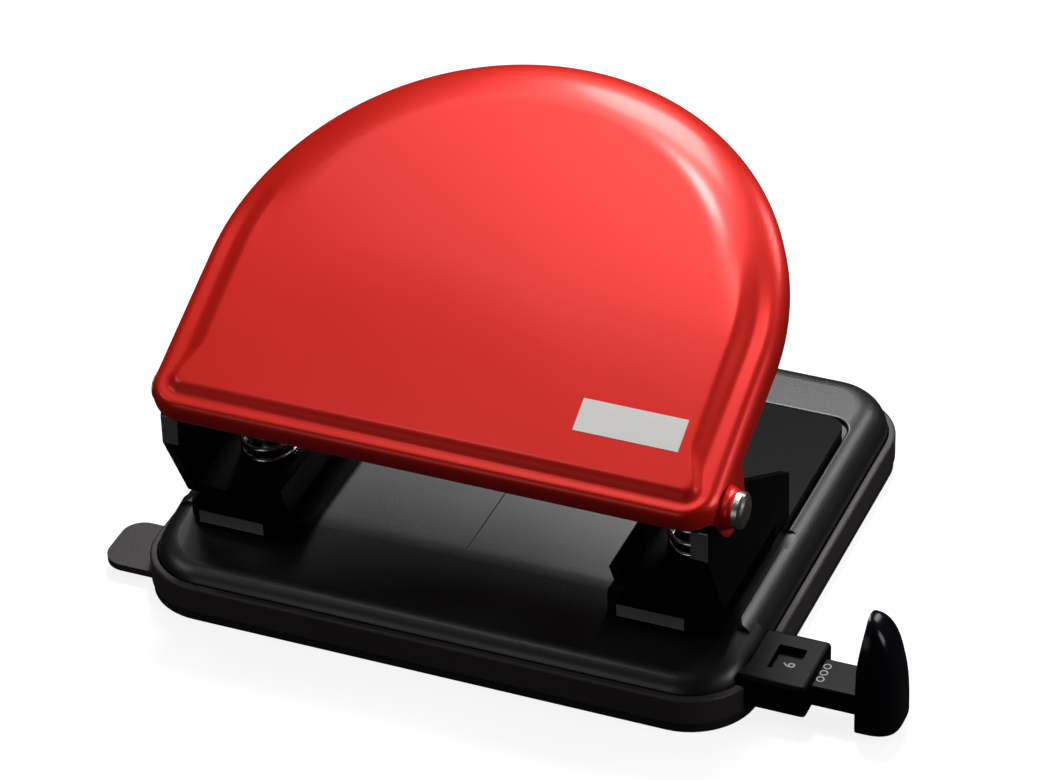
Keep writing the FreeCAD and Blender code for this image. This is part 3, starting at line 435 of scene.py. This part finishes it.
# %% [markdown]
# ## The pressed handle
#
# The handle is a D of sheet steel: a straight front, a half-circle behind. It is pressed in one hit,
# so its section is made of soft forms. Along the front and both sides runs a rounded bead, and behind
# it a crease from which the panel climbs. Around the back the bead fades out, and the sheet climbs
# from the wall to the panel in one long soft shoulder. In flat view the D is simple, so it is drawn
# as rings at a growing inset from the edge, each ring with the same number of columns. The height of
# each point then comes from its inset. At last the whole sheet turns up about the pivot to the angle
# at which the handle rests.
#
# The sizes below are in millimetres. Places are counted from the pivot, and heights from its level.

# %% Sizes of the handle, in its own flat view
HALF_WIDTH = -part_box("handle_shell")[0].x / MM
FRONT_AHEAD = 6.8  # front edge ahead of the pivot
ARC_BEHIND = 25.3  # middle of the half-circle behind the pivot
FRONT_CORNER = 6.4
TILT = math.radians(23.4)  # how far the handle stands up at rest
SHEET = 1.0
WALL_FOOT, WALL_TOP = 1.1, 1.7
BEAD_REACH, BEAD_TOP = 2.6, 5.0
CREASE_AT, SIDE_CLIMB = 4.2, 7.8  # insets where the panel starts to climb and is up
SHOULDER, SHOULDER_FOOT = 12.0, 2.9
PANEL_FRONT, PANEL_BACK, CROWN = 6.2, 8.5, 0.4
PANEL_LENGTH = 64.0  # over which the panel's level climbs
LAST_INSET = 14.6  # the innermost ring
POLE_BEHIND = 33.0  # the one point in the middle of the panel
print("handle half-width, mm:", round(HALF_WIDTH, 2))

# %% The D and its height


def d_ring(inset, corner, counts=(40, 22, 44, 116)):
    """Points of the D at an inset, as two blocks x and y of one row per inset.
    They run from the middle of the front along its line, around the corner, up the side line and
    round a quarter of a circle, and are then mirrored to the other side."""
    inset = np.asarray(inset, float)[:, None]
    corner = np.asarray(corner, float)[:, None]
    half = HALF_WIDTH - inset
    front = inset - FRONT_AHEAD
    along = np.linspace(0, 1, counts[0], endpoint=False)[None]
    bend = np.linspace(-math.pi / 2, 0, counts[1], endpoint=False)[None]
    up = np.linspace(0, 1, counts[2], endpoint=False)[None]
    swing = np.linspace(0, math.pi / 2, counts[3])[None]
    x = np.concatenate([
        along * (half - corner),
        half - corner + corner * np.cos(bend),
        half + 0 * up,
        half * np.cos(swing),
    ], axis=1)
    y = np.concatenate([
        front + 0 * along,
        front + corner + corner * np.sin(bend),
        front + corner + up * (ARC_BEHIND - front - corner),
        ARC_BEHIND + half * np.sin(swing),
    ], axis=1)
    x = np.concatenate([x, -x[:, -2:0:-1]], axis=1)
    y = np.concatenate([y, y[:, -2:0:-1]], axis=1)
    return x, y


def rolled_edge(inset, reach, foot, top, full=2.0, power=0.5):
    """A rounded edge that leaves the wall upright at its foot and lies flat at its reach: the power of
    one less what is left of the way, itself raised to full. With 2 and a half it is a quarter of an
    ellipse, and with less than 2 it climbs for longer before it lies flat."""
    part = np.clip(inset / reach, 0, 1)
    return foot + (top - foot) * (1 - (1 - part) ** full) ** power


def panel_height(x, y, inset):
    """Height of the sheet's outside over its flat view, from a point's place and its inset.
    The panel's own level climbs from front to back, ever more gently, and is a little crowned. The
    bead is a rolled edge with a flat top, from which the panel climbs beyond the crease, and along the
    front it is narrower. The shoulder is one wide rolled edge. How far a point has swung round the
    back mixes the two."""
    climbed = np.clip((y + 2) / PANEL_LENGTH, 0, 1)
    level = PANEL_FRONT + (PANEL_BACK - PANEL_FRONT) * (1 - (1 - climbed) ** 2.3)
    level = level + CROWN * (1 - (x / HALF_WIDTH) ** 2) * soft_step(y, -2, 30)
    inset_there = inset * (1 + 0.5 * (1 - soft_step(y + FRONT_AHEAD - inset, 0, 6)))
    bead_top = BEAD_TOP + 0.5 * (level - PANEL_FRONT)
    bead = rolled_edge(inset_there, BEAD_REACH, WALL_TOP, bead_top)
    bead = bead + (level - bead_top) * soft_step(inset_there, CREASE_AT, SIDE_CLIMB)
    shoulder = rolled_edge(inset, SHOULDER, SHOULDER_FOOT, level, full=1.8, power=0.5722)
    swing = np.degrees(np.arctan2(np.maximum(y - ARC_BEHIND, 0), np.abs(x)))
    return bead + (shoulder - bead) * soft_step(swing, 2, 26)


def onto_handle(x, y, height):
    """From the handle's flat view to the punch: turned up by the resting angle about the pivot."""
    turned_y = y * math.cos(TILT) - height * math.sin(TILT)
    turned_z = y * math.sin(TILT) + height * math.cos(TILT)
    return np.stack([x, pivot.y / MM + turned_y, pivot.z / MM + turned_z], axis=-1)


bead_inset = BEAD_REACH * (1 - np.cos(np.linspace(0, math.pi / 2, 22)))
panel_inset = np.linspace(BEAD_REACH, LAST_INSET, 40)[1:]
all_inset = np.concatenate([bead_inset, panel_inset])
INNER_CORNER, CORNER_GROWS_FROM = 1.6, 4.8  # rings turn tightly at the crease, and wider again inside it
all_corner = np.maximum(FRONT_CORNER - all_inset, INNER_CORNER)
all_corner = all_corner + 0.75 * np.maximum(all_inset - CORNER_GROWS_FROM, 0)
ring_x, ring_y = d_ring(all_inset, all_corner)
ring_height = panel_height(ring_x, ring_y, all_inset[:, None])
print("rings and columns of the handle:", ring_x.shape)

# %% [markdown]
# Two ears hang down from the side walls and hold the pivots. They are part of the same sheet, so the
# lowest edge of the wall simply takes a longer way there: along the ear's outline instead of straight
# on. Between that edge and the bead the columns fan out evenly.

# %% Walls with ears
ear_outline = np.array([
    (-6.2, WALL_FOOT), (-4.7, 0.95), (-4.15, 0.2), (-3.45, -2.6), (-2.95, -4.6), (-2.2, -6.2),
    (-1.0, -7.15), (0.6, -7.4), (3.6, -6.85), (5.6, -6.2), (6.7, -5.2), (7.15, -3.6), (7.6, -1.0),
    (7.95, 0.45), (8.6, 1.0), (9.8, WALL_FOOT),
])
step = np.hypot(*np.diff(ear_outline, axis=0).T)
ear_way = np.concatenate([[0], np.cumsum(step)]) / step.sum()
outer_x, outer_y = ring_x[0], ring_y[0]
around = np.concatenate([[0], np.cumsum(np.hypot(np.diff(outer_x), np.diff(outer_y)))])
half_count = np.argmax(outer_y) + 1
side_way = around[:half_count]
side_line_start = HALF_WIDTH - FRONT_CORNER + FRONT_CORNER * math.pi / 2
from_line = side_way - side_line_start + FRONT_CORNER - FRONT_AHEAD
inside = (from_line > ear_outline[0, 0]) & (from_line < ear_outline[-1, 0])
share = (from_line - ear_outline[0, 0]) / (ear_outline[-1, 0] - ear_outline[0, 0])
edge_along = np.where(inside, np.interp(share, ear_way, ear_outline[:, 0]), from_line)
edge_height = np.where(inside, np.interp(share, ear_way, ear_outline[:, 1]), WALL_FOOT)
edge_way = edge_along + side_line_start - FRONT_CORNER + FRONT_AHEAD
blend = np.linspace(0, 1, 15, endpoint=False)[:, None]
way = edge_way + blend * (side_way - edge_way)
wall_x = np.interp(way, side_way, outer_x[:half_count])
wall_y = np.interp(way, side_way, outer_y[:half_count])
wall_x = np.concatenate([wall_x, -wall_x[:, -2:0:-1]], axis=1)
wall_y = np.concatenate([wall_y, wall_y[:, -2:0:-1]], axis=1)
edge_height = np.concatenate([edge_height, edge_height[-2:0:-1]])
wall_height = edge_height + blend * (ring_height[0] - edge_height)
print("lowest point of the ears in the flat view, mm:", round(float(wall_height.min()), 2))

# %% The middle of the panel, and the finished sheet
inward = np.linspace(0, 1, 25)[1:-1, None]
middle_x = ring_x[-1] * (1 - inward)
middle_y = ring_y[-1] * (1 - inward) + POLE_BEHIND * inward
middle_height = panel_height(middle_x, middle_y, np.full_like(middle_x, 20.0))  # well inside the shoulder
sheet_x = np.vstack([wall_x, ring_x, middle_x])
sheet_y = np.vstack([wall_y, ring_y, middle_y])
sheet_height = np.vstack([wall_height, ring_height, middle_height])
pole_x, pole_y = np.array([0.0]), np.array([POLE_BEHIND])
crown_point = onto_handle(pole_x, pole_y, panel_height(pole_x, pole_y, np.array([20.0])))[0]
handle = skin("pressed_handle", onto_handle(sheet_x, sheet_y, sheet_height), last_pole=crown_point)
thicken = handle.modifiers.new("sheet thickness", "SOLIDIFY")
thicken.thickness = SHEET * MM
thicken.offset = -1
thicken.use_even_offset = True
handle.data.materials.append(red_paint)
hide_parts("handle_shell")
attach(handle, "handle")
print("handle faces before thickening:", len(handle.data.polygons))

# %% [markdown]
# On the right ear a round boss stands out around the pivot, painted with the handle. It is a turned
# form, spun about the pivot's line: its side flares a little towards the ear, as sheet does where a
# punch has drawn it out, and its edge is rounded. Its underside is hollow and hidden by the ear.

# %% Boss of the right ear
BOSS_RADIUS, BOSS_RISE = 3.4, 1.6
BOSS_FLARE, BOSS_ROUND = 0.5, 0.4


def turned(name, profile, start_x, sides=72):
    """A piece turned about the pivot's line: a profile of (distance out, radius) points goes round once."""
    out, radius = np.asarray(profile, float).T
    turn = np.linspace(0, 2 * math.pi, sides, endpoint=False)[None]
    x = start_x + out[:, None] + 0 * turn
    y = pivot.y / MM + radius[:, None] * np.cos(turn)
    z = pivot.z / MM + radius[:, None] * np.sin(turn)
    centre = (pivot.y / MM, pivot.z / MM)
    return skin(
        name, np.stack([x, y, z], axis=-1),
        first_pole=(start_x + out[0], *centre), last_pole=(start_x + out[-1], *centre),
    )


edge_turn = np.linspace(0, math.pi / 2, 7)
foot = np.stack([
    0.05 + BOSS_FLARE * (1 - np.sin(edge_turn)),
    BOSS_RADIUS + BOSS_FLARE * (1 - np.cos(edge_turn)),
], axis=-1)
brow = np.stack([
    BOSS_RISE - BOSS_ROUND * (1 - np.sin(edge_turn)),
    BOSS_RADIUS - BOSS_ROUND * (1 - np.cos(edge_turn)),
], axis=-1)
boss = turned("right_ear_boss", np.vstack([foot, brow]), HALF_WIDTH)
boss.data.materials.append(red_paint)
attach(boss, "handle")
print("boss reaches x, mm:", round(HALF_WIDTH + BOSS_RISE, 2))

# %% [markdown]
# Under the handle a folded bar carries the push to both pins. Its rounded nose rests on them, its web
# stands up from there, and its flange lies under the pressed panel. One outline in side view, moved
# straight across, makes it.

# %% Press bar
BAR_SHEET = 1.6
BAR_NOSE_AT, BAR_NOSE_HEIGHT = 16.69, -2.41  # middle of the rounded nose, behind and below the pivot
BAR_FLANGE, BAR_FLANGE_TOP = 8.2, 4.5
BAR_BEND = 2.2


def arc(centre, radius, start, end, count=9):
    """Points of a circular arc in side view, from one angle to another, in degrees."""
    angle = np.radians(np.linspace(start, end, count))
    return np.stack([centre[0] + radius * np.cos(angle), centre[1] + radius * np.sin(angle)], axis=-1)


bar_back = BAR_NOSE_AT + BAR_SHEET / 2
bar_front = BAR_NOSE_AT - BAR_SHEET / 2
bend_centre = (bar_front + BAR_BEND, BAR_FLANGE_TOP - BAR_BEND)
bar_outline = np.vstack([
    arc((BAR_NOSE_AT, BAR_NOSE_HEIGHT), BAR_SHEET / 2, -180, 0, 13),
    arc(bend_centre, BAR_BEND - BAR_SHEET, 180, 90, 7),
    [(bar_back + BAR_FLANGE, BAR_FLANGE_TOP - BAR_SHEET), (bar_back + BAR_FLANGE, BAR_FLANGE_TOP)],
    arc(bend_centre, BAR_BEND, 90, 180, 11),
])
bar_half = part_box("press_bar")[1].x / MM
bar_rows = np.stack([
    onto_handle(np.full(len(bar_outline), x), bar_outline[:, 0], bar_outline[:, 1])
    for x in (-bar_half, bar_half)
])
bar = skin("folded_press_bar", bar_rows, flat_ends=True, smooth=False)
bar.data.materials.append(black_paint)
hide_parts("press_bar")
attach(bar, "handle")
print("press bar width, mm:", round(2 * bar_half, 1))

# %% [markdown]
# ## Return springs
#
# Each spring is a round wire wound about its pin. Real coils end in a turn that lies flat on its
# neighbour, so the climb per turn starts small, is even in the middle, and ends small again. The
# helix is a path, and the wire is a circle carried along it. The foot of each spring stands on the
# bracket, and the spring is fixed to the base.

# %% Springs
WIRE = 0.9
DEAD_TURNS, LIVE_TURNS = 1.0, 7.6


def coil_path(low, high, radius, dead_turns, live_turns, points=90):
    """Centre line of a spring. Its first and last turns climb by one wire each, the others share the
    rest evenly, and a running mean over the climb softens the change."""
    turns = dead_turns * 2 + live_turns
    wound = np.linspace(0, turns, int(points * turns))
    live = (high - low - 2 * dead_turns * WIRE) / live_turns
    climb = np.where((wound < dead_turns) | (wound > turns - dead_turns), WIRE, live)
    kernel = np.ones(41) / 41
    climb = np.convolve(np.pad(climb, 20, mode="edge"), kernel, mode="valid")
    height = np.concatenate([[0], np.cumsum(0.5 * (climb[1:] + climb[:-1]) * np.diff(wound))])
    height = low + height * (high - low) / height[-1]
    angle = 2 * math.pi * wound
    return np.stack([radius * np.cos(angle), radius * np.sin(angle), height], axis=-1)


for side in ("left", "right"):
    low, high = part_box(f"{side}_spring")
    pin_low, pin_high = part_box(f"{side}_punch_pin")
    axis_x = (pin_low.x + pin_high.x) / 2 / MM
    axis_y = (pin_low.y + pin_high.y) / 2 / MM
    radius = ((high.x - low.x) / MM - WIRE) / 2
    path = coil_path(low.z / MM + WIRE / 2, high.z / MM - WIRE / 2, radius, DEAD_TURNS, LIVE_TURNS)
    path += np.array([axis_x, axis_y, 0])
    coil = wire(f"{side}_wound_spring", path, WIRE / 2, sides=18)
    coil.data.materials.append(spring_steel)
    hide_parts(f"{side}_spring")
    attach(coil, "base")
    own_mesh(coil)
    print(side, "spring height, mm:", round((high.z - low.z) / MM, 2))

# %% [markdown]
# ## The guide's end stop
#
# The paper's edge rests on the stop's flat inner face. The rest of it is one rounded moulding that
# narrows to a blunt tip. Its sections are level rings: a superellipse, which is a rounded box, whose
# half-width and thickness both shrink towards the top.

# %% Sections of the stop
stop_low, stop_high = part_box("guide_stop")
STOP_HALF_WIDTH, STOP_DEEP = 5.85, 7.3
STOP_LEAN = 0.9  # how far the face leans back at the tip
STOP_FACE_ROUND, STOP_FOOT_ROUND = 0.5, 0.6
rise = 1 - (1 - np.linspace(0, 1, 70)[:-1]) ** 2.2
half_width = STOP_HALF_WIDTH * (1 - rise ** 3) ** 0.4
thickness = STOP_DEEP * (1 - rise ** 3) ** 0.6
face_x = stop_low.x / MM + STOP_LEAN * soft_step(rise, 0.55, 1.05)
print("stop is", round(2 * half_width[0], 1), "mm wide and", round(thickness[0], 1), "mm thick at its foot")

# %% The stop's rounded sides
around_stop = np.linspace(-math.pi, math.pi, 128, endpoint=False)[None]
flat_part = np.minimum(STOP_FACE_ROUND, 0.2 * thickness)[:, None]


def rounded(value, power):
    """A sine or cosine drawn out to a power, with its sign kept: this turns a circle into a rounded box."""
    return np.sign(value) * np.abs(value) ** power


outward = rounded(np.cos(around_stop), 0.6)
sideways = rounded(np.sin(around_stop), 0.6)
reach = np.where(outward > 0, thickness[:, None] - flat_part, flat_part)
stop_x = face_x[:, None] + flat_part + reach * outward
stop_y = (stop_low.y + stop_high.y) / 2 / MM + half_width[:, None] * sideways
stop_z = stop_low.z / MM + (stop_high.z - stop_low.z) / MM * rise[:, None] + 0 * around_stop
foot_turn = np.linspace(0, math.pi / 2, 6)[:-1, None]
foot_in = STOP_FOOT_ROUND * (1 - np.sin(foot_turn))
centre_x = stop_x[:1].mean()
centre_y = stop_y[:1].mean()
foot_x = centre_x + (stop_x[:1] - centre_x) * (1 - foot_in / (STOP_DEEP / 2))
foot_y = centre_y + (stop_y[:1] - centre_y) * (1 - foot_in / STOP_HALF_WIDTH)
foot_z = stop_low.z / MM + STOP_FOOT_ROUND * (1 - np.cos(foot_turn)) + 0 * around_stop
lift = np.clip(STOP_FOOT_ROUND * (1 - 6 * rise[:, None]), 0, None)
stop_rows = np.concatenate([
    np.stack([foot_x, foot_y, foot_z], axis=-1),
    np.stack([stop_x, stop_y, stop_z + lift], axis=-1),
])
tip = (face_x[-1] + 0.1, centre_y, stop_high.z / MM)
stop = skin("moulded_stop", stop_rows, first_pole=(centre_x, centre_y, stop_low.z / MM), last_pole=tip)
stop.data.materials.append(guide_plastic)
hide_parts("guide_stop")
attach(stop, "guide")
print("stop reaches x, mm:", round(float(stop_rows[..., 0].max()), 2))

# %% [markdown]
# ## Printed marks
#
# A pale blank label is printed on the front right of the handle. It is thin, so it follows the
# panel's own height with a hair's breadth over it. The guide rail carries plain numerals, one for
# each of three paper settings, and three small rings.

# %% The label
print_white = finish(
    "white_print", (0.86, 0.85, 0.83), (0.80, 0.79, 0.77), (0.35, 0.5),
    cloud=150, grain=5000, depth=0.002,
)
PRINT = 0.05  # how far a print stands over its ground
LABEL_ACROSS, LABEL_UP = (23.9, 42.5), (4.4, 10.5)
label_x, label_y = np.meshgrid(np.linspace(*LABEL_ACROSS, 40), np.linspace(*LABEL_UP, 16))
label_inset = np.minimum(label_y + FRONT_AHEAD, HALF_WIDTH - label_x)
label_height = panel_height(label_x, label_y, label_inset) + PRINT
label = skin("blank_label", onto_handle(label_x, label_y, label_height), close_columns=False)
label.data.materials.append(print_white)
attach(label, "handle")
print("label, mm:", round(float(np.ptp(label_x)), 1), "by", round(float(np.ptp(label_y)), 1))

# %% Numerals and rings on the rail
rail_low, rail_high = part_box("guide_rail")
housing_low, housing_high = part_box("guide_housing")
rail_top = rail_high.z / MM + PRINT
rail_y = (rail_low.y + rail_high.y) / 2 / MM
window_x = (housing_low.x + housing_high.x) / 2 / MM + 1.9
NUMERAL = 3.0
RINGS_AT, RING_STEP, RING_RADIUS, RING_BAND = 66.9, 1.8, 0.72, 0.22
A5_BEYOND, A4_BEYOND = 31.0, 74.5  # how much further the rail is out at each setting
print_grey = finish(
    "grey_print", (0.40, 0.40, 0.42), (0.34, 0.34, 0.36), (0.4, 0.5),
    cloud=150, grain=5000, depth=0.002,
)


def numeral(text, x):
    """A printed numeral that reads along +Y, as flat mesh, in the middle of the rail's top."""
    letters = bpy.data.curves.new("numeral", "FONT")
    letters.body = text
    letters.align_x = "CENTER"
    letters.align_y = "CENTER"
    letters.size = NUMERAL * MM
    letters.offset = 0.008 * NUMERAL * MM
    holder = bpy.data.objects.new("numeral", letters)
    bpy.context.scene.collection.objects.link(holder)
    bpy.context.view_layer.update()
    mesh = bpy.data.meshes.new_from_object(holder.evaluated_get(bpy.context.evaluated_depsgraph_get()))
    bpy.data.objects.remove(holder)
    place = Matrix.Translation(Vector((x, rail_y, rail_top)) * MM)
    mesh.transform(place @ Matrix.Rotation(math.pi / 2, 4, "Z"))
    piece = bpy.data.objects.new(f"rail_numeral_{text}", mesh)
    bpy.context.scene.collection.objects.link(piece)
    return piece


def ring_mark(name, y):
    """A printed ring: two circles joined by a flat band."""
    turn = np.linspace(0, 2 * math.pi, 40, endpoint=False)
    circle = np.stack([np.cos(turn), np.sin(turn), 0 * turn], axis=-1)
    rows = np.stack([circle * RING_RADIUS, circle * (RING_RADIUS - RING_BAND)])
    return skin(name, rows + np.array([RINGS_AT, y, rail_top]))


marks = [numeral("6", window_x), numeral("5", window_x - A5_BEYOND), numeral("4", window_x - A4_BEYOND)]
marks += [ring_mark(f"rail_ring_{i}", rail_y + (i - 1) * RING_STEP) for i in range(3)]
for mark in marks:
    mark.data.materials.append(print_grey)
    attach(mark, "guide")
print("marks on the rail:", len(marks))

# %% [markdown]
# ## Studio
#
# A pale table in a dim room, and eight soft boxes close to the punch. A dim room keeps the black paint
# black, and boxes that stand close make the light fall off across the red panel. Two of them stand
# behind: one draws the white streak on the handle's right shoulder, and the other glances off the
# base's rear shelf. One lights the panel from overhead, two the right side, and three the front.
# The table is made to glow a little, so that it stays pale without throwing light up at the punch.

# %% Table
table_material = finish(
    "pale_table", (0.36, 0.36, 0.36), (0.35, 0.35, 0.35), (0.6, 0.7),
    cloud=4, grain=300, depth=0.0, specular=0.1,
)
bpy.ops.mesh.primitive_plane_add(size=12, location=(0, 0, 0))
table = bpy.context.object
table.name = "table"
table.data.materials.append(table_material)
table.visible_glossy = False
table.visible_diffuse = False
table_nodes = table_material.node_tree
table_shader = table_nodes.nodes["Principled BSDF"]
table_nodes.links.new(table_nodes.nodes["variation"].outputs["Colour"], table_shader.inputs["Emission Color"])
table_shader.inputs["Emission Strength"].default_value = 2.4
print("table, m:", [round(side, 1) for side in table.dimensions[:2]])

# %% Room and lights
scene = bpy.context.scene
scene.view_settings.view_transform = "Standard"
scene.view_settings.look = "None"
world = bpy.data.worlds.new("pale_room")
scene.world = world
world.use_nodes = True
room = world.node_tree.nodes["Background"]
room.inputs["Color"].default_value = (1, 1, 1, 1)
room.inputs["Strength"].default_value = 0.015

middle = (Vector(bounds_at_load[0]) + Vector(bounds_at_load[1])) / 2


def soft_light(name, azimuth, elevation, size, power, distance=0.6):
    """A square soft box that faces the punch. The azimuth runs from the front round by the right, in
    degrees, the size and distance are in metres and the power in watts."""
    lamp = bpy.data.lights.new(name, "AREA")
    lamp.size = size
    lamp.energy = power
    holder = bpy.data.objects.new(name, lamp)
    scene.collection.objects.link(holder)
    round_by, up = math.radians(azimuth), math.radians(elevation)
    direction = Vector((math.sin(round_by) * math.cos(up), -math.cos(round_by) * math.cos(up), math.sin(up)))
    holder.location = middle + direction * distance
    holder.rotation_euler = direction.to_track_quat("Z", "Y").to_euler()


soft_light("rear_shelf_box", azimuth=191, elevation=51.5, size=0.20, power=2.4)
soft_light("shoulder_box", azimuth=197, elevation=72, size=0.07, power=1.0)
soft_light("overhead_box", azimuth=228, elevation=68, size=0.28, power=0.41)
soft_light("right_box", azimuth=92, elevation=18, size=0.24, power=1.0)
soft_light("right_rear_box", azimuth=148, elevation=30, size=0.14, power=0.5)
soft_light("front_top_box", azimuth=311, elevation=65, size=0.10, power=0.12)
soft_light("front_left_box", azimuth=300, elevation=36, size=0.24, power=0.3)
soft_light("front_box", azimuth=345, elevation=8, size=0.24, power=0.16)
print("lights:", [light.name for light in bpy.data.lights])

# %% Camera
AZIMUTH, ELEVATION, ROLL = math.radians(22.5), math.radians(34.8), math.radians(-1.415)
TARGET = Vector((0.00206, 0.02106, 0.015))
DISTANCE = 0.8391
back = Vector((
    math.sin(AZIMUTH) * math.cos(ELEVATION), -math.cos(AZIMUTH) * math.cos(ELEVATION), math.sin(ELEVATION),
))
camera_data = bpy.data.cameras.new("camera")
camera_data.lens = 159.9
camera_data.sensor_width = 36
camera_data.shift_x = -0.0544
camera_data.clip_start = 0.05
camera_data.clip_end = 30
camera = bpy.data.objects.new("camera", camera_data)
scene.collection.objects.link(camera)
turn = Matrix.Rotation(AZIMUTH, 4, "Z") @ Matrix.Rotation(math.pi / 2 - ELEVATION, 4, "X")
camera.matrix_world = Matrix.Translation(TARGET + back * DISTANCE) @ turn @ Matrix.Rotation(ROLL, 4, "Z")
scene.camera = camera
print("camera stands at, m:", [round(c, 3) for c in camera.location])
